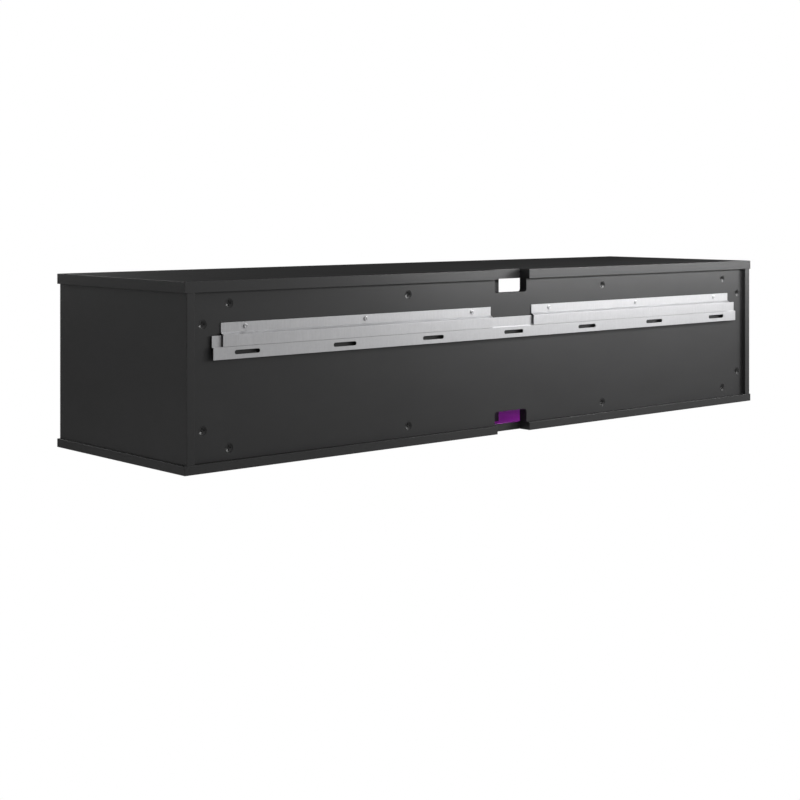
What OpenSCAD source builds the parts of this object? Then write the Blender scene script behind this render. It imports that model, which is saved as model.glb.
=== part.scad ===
// Wall-hung electric fireplace console, in millimetres.
// The front faces -Y, +X is the right-hand side seen from the front, and +Z is up.
// The origin is on the underside of the bottom panel, in the middle of the cabinet.

/* [Cabinet] */
// Overall width, over the ends of the top panel
body_w = 1460; // [1440:5:1480]
// Overall depth of the top panel
body_d = 402; // [400:1:410]
// Overall height
body_h = 304; // [304:1:308]
// Thickness of the top panel
top_t = 18; // [18:1:19]
// Thickness of the bottom panel
bottom_t = 15; // [15:1:16]
// Thickness of the side panels and of the centre divider
side_t = 15; // [15:1:16]
// Thickness of the back panel
back_t = 18; // [18:1:19]
// How far the top and bottom panels overhang the side panels
side_inset = 4; // [2:1:6]
// How far the top and bottom panels overhang at the front
front_inset = 3; // [2:1:4]
// How far the back panel is set in from the rear edges, to make room for the rails
back_recess = 8; // [8:1:9]
// Gap for cables between the centre divider and the back panel
divider_gap = 21; // [18:1:24]

/* [Cable notches] */
// Width of each cable notch
notch_w = 84; // [70:1:90]
// Height of each notch in the back panel
notch_h = 25; // [20:1:26]
// Radius of the inner corners of the notches
notch_r = 5; // [3:1:8]

/* [Hanging rails] */
// Thickness of the rail steel
rail_t = 1.5; // [1.4:0.1:1.5]
// Length of each cabinet rail
cab_rail_l = 603; // [590:1:605]
// Distance from the middle of the cabinet to the inner end of each cabinet rail
cab_rail_start = 54; // [50:1:56]
// Length of the wall rail
wall_rail_l = 1352; // [1340:1:1360]
// Spacing of the wall rail's slots: half of a 16 inch stud spacing
slot_pitch = 203.2; // [200:0.1:205]
// Length of each slot, end to end
slot_l = 50; // [40:1:52]
// Width of each slot
slot_w = 7; // [6:0.5:8]

/* [Fasteners] */
// Diameter of the cam locks
cam_d = 15; // [12:1:15]
// Distance from a back panel cam to the edge that it pulls on
back_cam_inset = 19.5; // [18:0.5:22]
// Distance from a side panel or divider cam to the edge that it pulls on
frame_cam_inset = 24; // [22:1:30]
// Diameter of the dowels
dowel_d = 8; // [6:1:8]

/* [Fireplace insert] */
// Width of the insert's front trim
trim_w = 701; // [700:0.5:702]
// Height of the insert's front trim
trim_h = 268.6; // [268:0.1:269]
// Width of the insert's steel shell
shell_w = 680; // [678:1:682]
// Depth of the steel shell
shell_d = 150; // [150:1:152]
// Sheet thickness of the shell
sheet_t = 1.2; // [1:0.1:1.2]
// Thickness of the front glass
glass_t = 4; // [3:1:4]
// Outer radius of the flame rotor's paddles
rotor_r = 19; // [15:1:20]
// Radius of the blower wheel
blower_r = 19.5; // [17:0.5:20]

/* [Controls] */
// Diameter of a push button
button_d = 10; // [8:0.5:10]
// Travel of a push button
button_travel = 1.5; // [1:0.1:1.5]

/* [Hidden] */
$fn = 48;
eps = 0.1;           // cutting tools pass this far through a face
shaft_r = 2.5;       // both turning shafts
bush_r = 6;          // outside of a shaft bush
run_gap = 0.06;      // radial clearance of a running fit
press_gap = 0.02;    // radial room left in a press fit
screw_gap = 0.05;    // radial clearance round a screw or dowel

// cabinet
side_out = body_w / 2 - side_inset;
side_in = side_out - side_t;
rear_y = body_d / 2;
front_y = -body_d / 2 + front_inset;
in_bottom = bottom_t;
in_top = body_h - top_t;
in_h = in_top - in_bottom;
mid_z = (in_top + in_bottom) / 2;
back_y1 = rear_y - back_recess;
back_y0 = back_y1 - back_t;
divider_y1 = back_y0 - divider_gap;
side_mid = side_in + side_t / 2;

// cams, bolts and dowels
cam_sink = 0.6;          // cam rim below the panel's face
cam_dish = 1.6;          // depth of the dish in a cam's face
cam_cross = 9.2;         // length of each arm of a cam's cross recess
cam_skin = 3.2;          // cam material behind the bolt's axis
bolt_thread_l = 10;      // bolt length screwed into the neighbouring panel
bolt_r = 2.5;
back_cam_end_x = 640.5;
back_cam_mid_x = 256.5;
back_cam_side_z = 84;
frame_cam_y = [-150, 120];
dowel_y = [-100, 70];
dowel_deep = 18;         // dowel length in an upright panel
dowel_shallow = 10;      // dowel length in the top or bottom panel

// hanging rails
wall_slot_z = 188.2;
wall_rail_z = [177.5, 197.6, 216.1];       // lower edge, step, upper edge
cab_rail_z = [197.9, 216.6, 220.4, 236];   // lower edge, joggle's ends, upper edge
cab_rail_offset = rear_y - back_y1 - rail_t - 0.2;   // just clear of the wall
wall_rail_offset = 4.2;
rail_screw_z = 229;
rail_screw_end = 48;

// open bay lighting
led_x = [-690, -32];
led_z = [240, 249];
led_depth = 12;
led_wall = 1.2;

// insert: ix is the middle of its bay, and y runs back from the trim's face
ix = (side_in + side_t / 2) / 2;
iz = mid_z;
trim_y0 = front_y + 1;
trim_t = 6;
trim_y1 = trim_y0 + trim_t;
shell_y0 = trim_y1;
shell_y1 = shell_y0 + shell_d;
shell_z = [22, 279];
shell_in = shell_w / 2 - sheet_t;
floor_z = shell_z[0] + sheet_t;
window_x = 318;
window_z = [36, 208];
glass_x = 330;
glass_z = [28, 216];
grille_x = [-318, 150];
grille_z = [228, 264];
control_x = [168, 310];
control_z = [234, 258];
shield_z = [220, 221.2];
duct_x = [-266, 136];
duct_z = [233, 267];
duct_wall = 1;
blower_y = -84;
blower_z = 250;
wheel_x = [-256, 124];
scroll_r = 23.2;
scroll_x = [-262, 131.2];
plate_t = 1.2;
rotor_y = -76;
rotor_z = 64;
rotor_span = 304.8;
screen_y = [-109, -106.5];
board_z = 29.2;
board_t = 1.6;
lip = 1.5;               // rear flange of the louvre and the control bezel
button_x = [218, 234, 250, 266];
button_z = 246;
display_x = [173, 207];
display_h = 14;
receiver_x = 290;        // infrared receiver, behind its lens
button_board_y = -184.5;
inlet_pos = [282, 250];
switch_pos = [240, 250];
pivot_y = shell_y1 - 1;
bracket_z = [70, 190];
bracket_y = -150;
foot_x = 300;
foot_y = [-170, -60];

// ---- shared shapes ----

// A box between two opposite corners
module box(lo, hi) translate(lo) cube(hi - lo);

// Round bars along each axis
module rod_x(x0, x1, y, z, r) translate([x0, y, z]) rotate([0, 90, 0]) cylinder(h = x1 - x0, r = r);
module rod_y(y0, y1, x, z, r) translate([x, y0, z]) rotate([-90, 0, 0]) cylinder(h = y1 - y0, r = r);
module rod_z(z0, z1, x, y, r) translate([x, y, z0]) cylinder(h = z1 - z0, r = r);

// A flat outline in Y and Z, drawn out from x0 to x1
module along_x(x0, x1) translate([x0, 0, 0]) rotate([90, 0, 90]) linear_extrude(x1 - x0) children();

// Puts a shape drawn along +Z, with its side towards +X, at p: +Z goes to n and +X to d
module place(p, n, d) {
    s = cross(n, d);
    multmatrix([
        [d[0], s[0], n[0], p[0]],
        [d[1], s[1], n[1], p[1]],
        [d[2], s[2], n[2], p[2]],
        [0, 0, 0, 1]
    ]) children();
}

// ---- cam joints ----
// Each cam is [place of its face's centre, direction it faces, direction of its bolt, bolt depth, inset]

back_cam_z = in_h / 2 - back_cam_inset;
back_cams = concat(
    [for (x = [-back_cam_end_x, -back_cam_mid_x, back_cam_mid_x, back_cam_end_x], s = [-1, 1])
        [[x, back_y1, mid_z + s * back_cam_z], [0, 1, 0], [0, 0, s], back_t / 2, back_cam_inset]],
    [for (sx = [-1, 1], sz = [-1, 1])
        [[sx * (side_in - back_cam_inset), back_y1, mid_z + sz * back_cam_side_z],
            [0, 1, 0], [sx, 0, 0], back_t / 2, back_cam_inset]]
);
frame_cam_z = in_h / 2 - frame_cam_inset;
frame_cams = [
    for (face = [[-side_in, 1], [side_in, -1], [side_t / 2, 1]], y = frame_cam_y, s = [-1, 1])
        [[face[0], y, mid_z + s * frame_cam_z], [face[1], 0, 0], [0, 0, s], side_t / 2,
            frame_cam_inset]
];
all_cams = concat(back_cams, frame_cams);
dowel_x = [-side_mid, 0, side_mid];

// Everything that a cam joint removes from the panels
module cam_cuts(cams) for (c = cams) place(c[0], c[1], c[2]) {
    translate([0, 0, -c[3] - cam_skin - 0.2]) cylinder(h = c[3] + cam_skin + 0.2 + eps, r = cam_d / 2);
    rod_x(0, c[4] + eps, 0, -c[3], 4);
    rod_x(0, c[4] + bolt_thread_l + 0.3, 0, -c[3], bolt_r + screw_gap);
}

// A dished face with a cross recess, over a slot for the bolt's head
module cam_lock(depth) difference() {
    cam_r = cam_d / 2 - 0.1;
    translate([0, 0, -depth - cam_skin]) cylinder(h = depth + cam_skin - cam_sink, r = cam_r);
    rod_x(-4.4, cam_d, 0, -depth, 3.8);
    translate([0, 0, -cam_sink - cam_dish]) cylinder(h = cam_dish + eps, r1 = 2.4, r2 = cam_r - 0.8);
    for (a = [0, 90]) rotate(a) translate([-cam_cross / 2, -0.7, -cam_sink - 2.4]) cube([cam_cross, 1.4, 3]);
}

module cam_bolt(depth, inset) {
    rod_x(-2.6, 2.4, 0, -depth, 3.4);
    rod_x(0, inset - 3, 0, -depth, 2.1);
    rod_x(inset - 3, inset, 0, -depth, 3.7);
    rod_x(inset, inset + bolt_thread_l, 0, -depth, bolt_r);
}

module dowel_cuts() for (x = dowel_x, y = dowel_y) {
    rod_z(in_top - dowel_deep - 0.5, in_top + dowel_shallow + 0.5, x, y, dowel_d / 2);
    rod_z(in_bottom - dowel_shallow - 0.5, in_bottom + dowel_deep + 0.5, x, y, dowel_d / 2);
}

module joint_cuts() {
    cam_cuts(all_cams);
    dowel_cuts();
}

module cam_locks() color([0.42, 0.42, 0.44])
    for (c = all_cams) place(c[0], c[1], c[2]) cam_lock(c[3]);

module cam_bolts() color([0.7, 0.7, 0.72])
    for (c = all_cams) place(c[0], c[1], c[2]) cam_bolt(c[3], c[4]);

module frame_dowels() color([0.8, 0.66, 0.45]) for (x = dowel_x, y = dowel_y) {
    rod_z(in_top - dowel_deep, in_top + dowel_shallow, x, y, dowel_d / 2 - screw_gap);
    rod_z(in_bottom - dowel_shallow, in_bottom + dowel_deep, x, y, dowel_d / 2 - screw_gap);
}

// Thin covers over the cams that face the open bay
module cam_caps() color([0.12, 0.12, 0.13])
    for (c = frame_cams) if (c[0][0] < 0)
        place(c[0], c[1], c[2]) cylinder(h = 0.9, r = cam_d / 2 + 1);

// ---- cabinet panels ----

module notch_outline(h) {
    translate([-notch_w / 2, -eps]) square([notch_w, h - notch_r + eps]);
    translate([-notch_w / 2 + notch_r, 0]) square([notch_w - 2 * notch_r, h]);
    for (s = [-1, 1]) translate([s * (notch_w / 2 - notch_r), h - notch_r]) circle(r = notch_r);
}

module cable_slot(z0, z1)
    box([-notch_w / 2, back_y0, z0 - eps], [notch_w / 2, rear_y + eps, z1 + eps]);

module top_panel() color([0.13, 0.13, 0.14]) difference() {
    box([-body_w / 2, -body_d / 2, in_top], [body_w / 2, rear_y, body_h]);
    cable_slot(in_top, body_h);
    joint_cuts();
}

module bottom_panel() color([0.13, 0.13, 0.14]) difference() {
    box([-body_w / 2, -body_d / 2, 0], [body_w / 2, rear_y, in_bottom]);
    cable_slot(0, in_bottom);
    joint_cuts();
}

module side_panel(s) color([0.13, 0.13, 0.14]) difference() {
    box([min(s * side_in, s * side_out), front_y, in_bottom],
        [max(s * side_in, s * side_out), rear_y, in_top]);
    joint_cuts();
    bracket_screw_holes();
}

module left_side_panel() side_panel(-1);
module right_side_panel() side_panel(1);

module centre_divider() color([0.13, 0.13, 0.14]) difference() {
    box([-side_t / 2, front_y, in_bottom], [side_t / 2, divider_y1, in_top]);
    joint_cuts();
    bracket_screw_holes();
}

module back_panel() color([0.14, 0.14, 0.15]) difference() {
    box([-side_in, back_y0, in_bottom], [side_in, back_y1, in_top]);
    translate([0, back_y1 + eps, in_bottom]) rotate([90, 0, 0])
        linear_extrude(back_t + 2 * eps) notch_outline(notch_h);
    translate([0, back_y0 - eps, in_top]) rotate([-90, 0, 0])
        linear_extrude(back_t + 2 * eps) notch_outline(notch_h);
    cam_cuts(back_cams);
    for (x = rail_screw_x) rod_y(back_y1 - 13.5, back_y1 + eps, x, rail_screw_z, 2);
}

// ---- hanging rails ----

rail_screw_x = [
    for (s = [-1, 1], u = [rail_screw_end, cab_rail_l / 2, cab_rail_l - rail_screw_end])
        s * (cab_rail_start + u)
];

// Upper flange flat on the back panel, then a sloping joggle out to the lower flange
module cabinet_rail(x0) color([0.75, 0.76, 0.78]) difference() {
    y0 = back_y1;
    y1 = back_y1 + cab_rail_offset;
    drop = 0.7;
    along_x(x0, x0 + cab_rail_l) polygon([
        [y0, cab_rail_z[3]], [y0 + rail_t, cab_rail_z[3]], [y0 + rail_t, cab_rail_z[2]],
        [y1 + rail_t, cab_rail_z[1]], [y1 + rail_t, cab_rail_z[0]], [y1, cab_rail_z[0]],
        [y1, cab_rail_z[1] - drop], [y0, cab_rail_z[2] - drop]
    ]);
    for (x = rail_screw_x) rod_y(y0 - eps, y0 + rail_t + eps, x, rail_screw_z, 2.2);
}

module cabinet_rail_left() cabinet_rail(-cab_rail_start - cab_rail_l);
module cabinet_rail_right() cabinet_rail(cab_rail_start);

module rail_screws() color([0.78, 0.79, 0.8]) for (x = rail_screw_x) difference() {
    head_y = back_y1 + rail_t;
    union() {
        rod_y(back_y1 - 13, head_y, x, rail_screw_z, 2 - screw_gap);
        rod_y(head_y, head_y + 1.2, x, rail_screw_z, 4);
        rod_y(head_y + 1.2, head_y + 1.9, x, rail_screw_z, 3.2);
    }
    box([x - 2.2, head_y + 0.8, rail_screw_z - 0.4], [x + 2.2, head_y + 3, rail_screw_z + 0.4]);
    box([x - 0.4, head_y + 0.8, rail_screw_z - 2.2], [x + 0.4, head_y + 3, rail_screw_z + 2.2]);
}

// Lower flange flat on the wall, a square step, and the upper flange that the cabinet hooks over
module wall_rail() color([0.72, 0.73, 0.75]) difference() {
    y1 = rear_y;
    y0 = rear_y - wall_rail_offset - rail_t;
    along_x(-wall_rail_l / 2, wall_rail_l / 2) polygon([
        [y1, wall_rail_z[0]], [y1, wall_rail_z[1]], [y0 + rail_t, wall_rail_z[1]],
        [y0 + rail_t, wall_rail_z[2]], [y0, wall_rail_z[2]], [y0, wall_rail_z[1] - rail_t],
        [y1 - rail_t, wall_rail_z[1] - rail_t], [y1 - rail_t, wall_rail_z[0]]
    ]);
    for (i = [-3:3]) wall_slot(i * slot_pitch);
}

module wall_slot(x) {
    end = slot_l / 2 - slot_w / 2;
    for (s = [-1, 1]) rod_y(rear_y - rail_t - eps, rear_y + eps, x + s * end, wall_slot_z, slot_w / 2);
    box([x - end, rear_y - rail_t - eps, wall_slot_z - slot_w / 2],
        [x + end, rear_y + eps, wall_slot_z + slot_w / 2]);
}

// ---- lighting of the open bay ----

module led_channel() color([0.7, 0.71, 0.73]) difference() {
    box([led_x[0], back_y0 - led_depth, led_z[0]], [led_x[1], back_y0, led_z[1]]);
    box([led_x[0] + led_wall, back_y0 - led_depth + led_wall, led_z[0] - eps],
        [led_x[1] - led_wall, back_y0 - led_wall, led_z[1] - led_wall]);
}

module led_strip() color([0.92, 0.92, 0.88]) {
    top = led_z[1] - led_wall;
    mid = back_y0 - led_depth / 2;
    box([led_x[0] + 4, mid - 4, top - 1], [led_x[1] - 4, mid + 4, top]);
    for (i = [0:19]) translate([led_x[0] + 20 + i * 32.5, mid - 2.5, top - 2.6]) cube([5, 5, 1.6]);
}

module led_diffuser() color([0.95, 0.9, 0.98, 0.7])
    box([led_x[0] + led_wall, back_y0 - led_depth + led_wall, led_z[0]],
        [led_x[1] - led_wall, back_y0 - led_wall, led_z[0] + 1.4]);

module led_controller() color([0.1, 0.1, 0.11]) difference() {
    box([-150, back_y0 - 14, 205], [-88, back_y0, 229]);
    box([-88 - 8, back_y0 - 11, 211], [-88 + eps, back_y0 - 3, 223]);
}

// ---- insert: shell and covers ----

function bracket_side_x(s) = ix + s * (side_in - ix);

module firebox_shell() color([0.2, 0.2, 0.21]) difference() {
    box([ix - shell_w / 2, shell_y0, shell_z[0]],
        [ix + shell_w / 2, shell_y1 - sheet_t, shell_z[1]]);
    box([ix - shell_in, shell_y0 + sheet_t, floor_z],
        [ix + shell_in, shell_y1 - 2 * sheet_t, shell_z[1] - sheet_t]);
    box([ix - shell_in + 8, shell_y0 - eps, floor_z],
        [ix + shell_in - 8, shell_y0 + 3, shell_z[1] - sheet_t]);
    box([ix - shell_in + 10, shell_y1 - 4, floor_z + 10],
        [ix + shell_in - 10, shell_y1, shell_z[1] - sheet_t - 10]);
    case_screw_holes();
    bracket_screw_holes();
    for (x = [-foot_x, foot_x], y = foot_y) rod_z(shell_z[0] - eps, floor_z + eps, ix + x, y, 2);
}

module rear_cover() color([0.22, 0.22, 0.23]) difference() {
    box([ix - shell_w / 2, shell_y1 - sheet_t, shell_z[0]], [ix + shell_w / 2, shell_y1, shell_z[1]]);
    for (i = [0:23]) translate([ix - 252 + i * 16, shell_y1 - sheet_t - eps, 230])
        cube([5, sheet_t + 2 * eps, 36]);
    for (i = [0:11]) translate([ix - 300 + i * 16, shell_y1 - sheet_t - eps, 50])
        cube([5, sheet_t + 2 * eps, 30]);
    box([ix + inlet_pos[0] - 14, shell_y1 - 3, inlet_pos[1] - 10.2],
        [ix + inlet_pos[0] + 14, shell_y1 + eps, inlet_pos[1] + 10.2]);
    box([ix + switch_pos[0] - 9.7, shell_y1 - 3, switch_pos[1] - 9.7],
        [ix + switch_pos[0] + 9.7, shell_y1 + eps, switch_pos[1] + 9.7]);
    case_screw_holes();
}

// The shell's screws: [x, z, y under the head]
case_screw_list = concat(
    [for (s = [-1, 1], z = [40, 150, 262]) [ix + s * 333.8, z, shell_y1]],
    [for (s = [-1, 1], z = [60, 150, 240]) [ix + s * 334.8, z, shell_y0 + sheet_t]]
);

module case_screw_holes() for (c = case_screw_list)
    rod_y(c[2] - 5.2, c[2] + eps, c[0], c[1], 1.5 + screw_gap);

module case_screws() color([0.25, 0.25, 0.26]) for (c = case_screw_list) difference() {
    union() {
        rod_y(c[2] - 5, c[2], c[0], c[1], 1.5);
        rod_y(c[2], c[2] + 1.8, c[0], c[1], 2.8);
    }
    box([c[0] - 1.8, c[2] + 0.8, c[1] - 0.35], [c[0] + 1.8, c[2] + 3, c[1] + 0.35]);
    box([c[0] - 0.35, c[2] + 0.8, c[1] - 1.8], [c[0] + 0.35, c[2] + 3, c[1] + 1.8]);
}

module front_trim() color([0.07, 0.07, 0.08]) difference() {
    box([ix - trim_w / 2, trim_y0, iz - trim_h / 2], [ix + trim_w / 2, trim_y1, iz + trim_h / 2]);
    box([ix - window_x, trim_y0 - eps, window_z[0]], [ix + window_x, trim_y1 + eps, window_z[1]]);
    box([ix + grille_x[0], trim_y0 - eps, grille_z[0]], [ix + grille_x[1], trim_y1 + eps, grille_z[1]]);
    box([ix + control_x[0], trim_y0 - eps, control_z[0]],
        [ix + control_x[1], trim_y1 + eps, control_z[1]]);
    case_screw_holes();
}

module front_glass() color([0.1, 0.1, 0.12, 0.4])
    box([ix - glass_x, trim_y1, glass_z[0]], [ix + glass_x, trim_y1 + glass_t, glass_z[1]]);

// Small angles that hold the glass against the trim
module glass_clips() color([0.6, 0.6, 0.62])
    for (x = [-220, 0, 220], low = [true, false]) {
        edge = low ? glass_z[0] - 0.3 : glass_z[1] + 0.3;
        out = low ? -3.6 : 3.4;
        in = low ? 5 : -5;
        box([ix + x - 8, trim_y1, min(edge, edge + out)],
            [ix + x + 8, trim_y1 + glass_t, max(edge, edge + out)]);
        box([ix + x - 8, trim_y1 + glass_t, min(edge + in, edge + out)],
            [ix + x + 8, trim_y1 + glass_t + 1, max(edge + in, edge + out)]);
    }

// A border with sloping blades, each fitted between its ends
module outlet_louvre() color([0.09, 0.09, 0.1]) {
    gap = 0.3;
    wall = 2;
    blades = 3;
    x0 = ix + grille_x[0] + gap;
    x1 = ix + grille_x[1] - gap;
    z0 = grille_z[0] + gap;
    z1 = grille_z[1] - gap;
    difference() {
        union() {
            box([x0, trim_y0, z0], [x1, trim_y1, z1]);
            box([x0 - 3.5, trim_y1, z0 - 3.5], [x1 + 3.5, trim_y1 + lip, z1 + 3.5]);
        }
        box([x0 + wall, trim_y0 - eps, z0 + wall], [x1 - wall, trim_y1 + lip + eps, z1 - wall]);
    }
    for (i = [1:blades]) along_x(x0 + wall, x1 - wall)
        translate([(trim_y0 + trim_y1) / 2, z0 + i * (z1 - z0) / (blades + 1)]) rotate(-25)
            square([5.6, 1.4], center = true);
}

module heat_shield() color([0.68, 0.69, 0.7]) difference() {
    box([ix - shell_in, trim_y1 + glass_t + 1.5, shield_z[0]],
        [ix + shell_in, shell_y1 - 2 * sheet_t, shield_z[1]]);
    for (p = power_posts) rod_z(shield_z[0] - eps, shield_z[1] + eps, p[0], p[1], 1.6);
}

// ---- insert: heater ----

// Top and bottom plates, with a side plate fitted between them at each end
module heater_duct() color([0.72, 0.73, 0.74]) {
    y0 = trim_y1 + lip + 0.1;
    y1 = blower_y - 30;
    for (z = [duct_z[0], duct_z[1] - duct_wall])
        box([ix + duct_x[0], y0, z], [ix + duct_x[1], y1, z + duct_wall]);
    for (x = [duct_x[0], duct_x[1] - duct_wall])
        box([ix + x, y0, duct_z[0] + duct_wall + press_gap],
            [ix + x + duct_wall, y1, duct_z[1] - duct_wall - press_gap]);
}

// Ceramic heater: two aluminium bars with upright fins between them
module heating_element() color([0.8, 0.78, 0.72]) {
    x0 = ix + duct_x[0] + duct_wall + 2;
    x1 = ix + duct_x[1] - duct_wall - 2;
    z0 = duct_z[0] + duct_wall;
    z1 = duct_z[1] - duct_wall;
    for (z = [z0, (z0 + z1) / 2 - 2, z1 - 4]) box([x0, -152, z], [x1, -138, z + 4]);
    fins = 48;
    for (i = [0:fins]) translate([x0 + i * (x1 - x0 - 1) / fins, -151, z0 + 1]) cube([1, 12, z1 - z0 - 2]);
}

module thermal_cutout() color([0.85, 0.84, 0.8]) {
    translate([ix + 20, -128, duct_z[1]]) {
        cylinder(h = 6, r = 8);
        box([-14, -3, 0], [14, 3, 0.8]);
        for (s = [-1, 1]) box([s * 4 - 1.5, -0.4, 5], [s * 4 + 1.5, 0.4, 9]);
    }
}

// Scroll casing round the wheel, open to the rear for intake and to the front for the outlet
module blower_housing() color([0.66, 0.67, 0.69]) {
    along_x(ix + scroll_x[0], ix + scroll_x[1]) translate([blower_y, blower_z]) difference() {
        union() {
            circle(r = scroll_r);
            translate([-30, -13.2]) square([30, 26.4]);
        }
        circle(r = scroll_r - plate_t);
        translate([-31, -12]) square([31, 24]);
        polygon([[0, 0], [40, -22], [40, 22]]);
    }
    for (x = [scroll_x[0], scroll_x[1] - plate_t]) along_x(ix + x, ix + x + plate_t)
        translate([blower_y, blower_z]) difference() {
            translate([-30, shield_z[1] - blower_z]) square([54, 24 + blower_z - shield_z[1]]);
            circle(r = bush_r + press_gap);
        }
}

module blower_wheel() color([0.3, 0.31, 0.33]) {
    x0 = ix + wheel_x[0];
    x1 = ix + wheel_x[1];
    for (i = [0:3]) rod_x(x0 + i * (x1 - x0 - 1.4) / 3, x0 + i * (x1 - x0 - 1.4) / 3 + 1.4,
        blower_y, blower_z, blower_r);
    along_x(x0, x1) translate([blower_y, blower_z])
        for (i = [0:17]) rotate(i * 20) translate([blower_r - 3.6, 0]) rotate(28)
            square([6, 0.9], center = true);
    rod_x(ix + wheel_x[0] - 27, x0 + 1, blower_y, blower_z, shaft_r);
    rod_x(x1 - 1, x1 + 15, blower_y, blower_z, shaft_r);
}

// Shaded-pole motor: laminated stack, coil and end bearing
module blower_motor() color([0.45, 0.4, 0.36]) difference() {
    x0 = ix - 318;
    union() {
        box([x0 + 14, blower_y - 21, shield_z[1] + 4], [x0 + 34, blower_y + 21, blower_z + 22]);
        box([x0 + 8, blower_y - 19, shield_z[1] + 5], [x0 + 40, blower_y - 9, blower_z + 14]);
        rod_x(x0 + 4, x0 + 44, blower_y, blower_z, 11);
        box([x0 + 18, blower_y - 12, shield_z[1]], [x0 + 30, blower_y + 12, shield_z[1] + 5]);
    }
    rod_x(x0 + 30, x0 + 44 + eps, blower_y, blower_z, shaft_r + run_gap);
}

// Four flanged nylon bushes: two for the blower wheel and two for the rotor
module shaft_bushes() color([0.9, 0.88, 0.8]) {
    shaft_bush(ix + scroll_x[0], blower_y, blower_z, 1);
    shaft_bush(ix + scroll_x[1], blower_y, blower_z, -1);
    shaft_bush(ix - rotor_span - plate_t, rotor_y, rotor_z, 1);
    shaft_bush(ix + rotor_span + plate_t, rotor_y, rotor_z, -1);
}

// s is the side that the bush's body points to from the plate's outer face at x
module shaft_bush(x, y, z, s) difference() {
    union() {
        rod_x(min(x, x + s * 4), max(x, x + s * 4), y, z, bush_r);
        rod_x(min(x, x - s * 1.5), max(x, x - s * 1.5), y, z, bush_r + 2);
    }
    rod_x(x - 10, x + 10, y, z, shaft_r + run_gap);
}

// ---- insert: flame effect ----

module flame_screen() color([0.9, 0.92, 0.95, 0.5])
    box([ix - glass_x, screen_y[0], floor_z], [ix + glass_x, screen_y[1], shield_z[0]]);

module flame_reflector() color([0.85, 0.86, 0.88])
    along_x(ix - rotor_span, ix + rotor_span) translate([rotor_y, rotor_z]) {
        difference() {
            circle(r = 31);
            circle(r = 30);
            translate([-40, -40]) square([40, 80]);
            translate([-40, 0]) square([80, 40]);
        }
        translate([30, 0]) square([1, 152]);
    }

module rotor_shaft() color([0.75, 0.76, 0.78])
    rod_x(ix - rotor_span - 16, ix + rotor_span + 6, rotor_y, rotor_z, shaft_r);

// Polished paddles in groups of four, each group turned a little from the last
module rotor_paddles() color([0.88, 0.89, 0.9]) for (i = [0:13])
    translate([ix - 273 - 17 + i * 42, rotor_y, rotor_z]) rotate([i * 25, 0, 0]) difference() {
        union() {
            rod_x(0, 34, 0, 0, 4);
            for (a = [0:90:270]) rotate([a, 0, 0]) box([3, -0.4, 3], [31, 0.4, rotor_r]);
        }
        rod_x(-1, 36, 0, 0, shaft_r + press_gap);
    }

module rotor_motor() color([0.62, 0.63, 0.65]) difference() {
    union() {
        rod_x(ix - 336, ix - 316, rotor_y, rotor_z, 24);
        rod_x(ix - 316, ix - 314, rotor_y, rotor_z, 8);
        for (s = [-1, 1]) rod_x(ix - 316, ix - rotor_span - plate_t, rotor_y, rotor_z + s * 18, 3);
    }
    rod_x(ix - 324, ix - 313, rotor_y, rotor_z, shaft_r + run_gap);
}

module rotor_brackets() color([0.66, 0.67, 0.69]) for (s = [-1, 1]) difference() {
    x0 = ix + s * rotor_span;
    x1 = x0 + s * plate_t;
    union() {
        box([min(x0, x1), rotor_y - 26, floor_z], [max(x0, x1), rotor_y + 31.5, 150]);
        box([min(x0, x0 + s * 12), rotor_y - 26, floor_z],
            [max(x0, x0 + s * 12), rotor_y + 20, floor_z + plate_t]);
    }
    rod_x(min(x0, x1) - 1, max(x0, x1) + 1, rotor_y, rotor_z, bush_r + press_gap);
}

// A long light board with its lamps on top
module led_board(y0, y1, lamps, pitch) {
    box([ix - 298, y0, board_z], [ix + 298, y1, board_z + board_t]);
    for (i = [0:lamps - 1])
        translate([ix + pitch * (i - (lamps - 1) / 2), (y0 + y1) / 2, board_z + board_t + 0.6])
            cube([5, 5, 1.6], center = true);
}

module flame_led_board() color([0.93, 0.93, 0.9]) led_board(-104, -88, 19, 31);
module ember_led_board() color([0.93, 0.93, 0.9]) led_board(-156, -140, 15, 39);

// Moulded bed, open underneath, that the light shines up through
module ember_tray() color([0.95, 0.75, 0.5, 0.6]) difference() {
    box([ix - 326, trim_y1 + glass_t + 3, floor_z], [ix + 326, screen_y[0] - 1, 44]);
    box([ix - 324, trim_y1 + glass_t + 5, floor_z - eps], [ix + 324, screen_y[0] - 3, 42]);
}

// Crushed glass on the bed: cubes at mixed angles, each with its lowest corner on the bed
crystal_a = 7.4;
module ember_crystals() color([0.85, 0.9, 1, 0.6]) for (i = [0:47], j = [0:4]) {
    n = i * 5 + j;
    tilt = [(n * 67) % 90, (n * 41) % 90, (n * 113) % 90];
    lift = crystal_a / 2 * (abs(sin(tilt[1])) + abs(cos(tilt[1]) * sin(tilt[0]))
        + abs(cos(tilt[1]) * cos(tilt[0])));
    translate([ix - 318 + i * 13.5 + (j % 2) * 1.2, -175.5 + j * 14, 44 + lift]) rotate(tilt)
        cube(crystal_a, center = true);
}

power_posts = [for (x = [ix + 181, ix + 319], y = [-159, -81]) [x, y]];
module board_standoffs() color([0.85, 0.85, 0.8]) {
    for (x = [-290, 0, 290], y = [-100, -148]) rod_z(floor_z, board_z, ix + x, y, 3);
    for (p = power_posts) rod_z(shield_z[1], shield_z[1] + 6, p[0], p[1], 3);
}

// ---- insert: controls and electrics ----

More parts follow.
